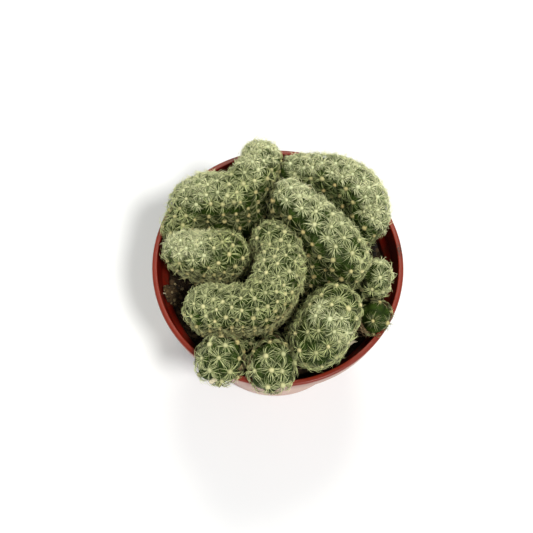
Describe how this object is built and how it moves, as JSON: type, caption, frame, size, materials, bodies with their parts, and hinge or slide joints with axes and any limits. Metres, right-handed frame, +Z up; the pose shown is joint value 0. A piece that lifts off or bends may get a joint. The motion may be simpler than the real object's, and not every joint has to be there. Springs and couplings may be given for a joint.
{
  "type": "potted brain cactus",
  "caption": "Crested brain cactus with folded, spine-covered lobes crowding the rim of a round plastic nursery pot.",
  "frame": {"origin": "middle of the pot's flat underside", "axes": "+Z up along the pot's axis, -Y towards the viewer, +X to the viewer's right"},
  "size_m": [0.085, 0.0894, 0.0965],
  "materials": {
    "pot_plastic": "terracotta-coloured injection-moulded plastic, satin on the rim and matte on the body",
    "potting_soil": "dark crumbly peat with pale specks and fibres",
    "cactus_skin": "dark green waxy skin under cream areoles and pale, interlaced spines",
    "husk": "dry straw-coloured flake"
  },
  "bodies": {
    "root": {"pot": "pot_plastic", "soil": "potting_soil", "husk": "husk", "crest_back_left": "cactus_skin", "crest_left": "cactus_skin", "crest_centre": "cactus_skin", "crest_back_right": "cactus_skin", "crest_diagonal": "cactus_skin", "crest_front_right": "cactus_skin", "head_front_left": "cactus_skin", "head_front_middle": "cactus_skin", "head_right_low": "cactus_skin", "head_right": "cactus_skin", "head_small": "cactus_skin"}
  },
  "joints": []
}
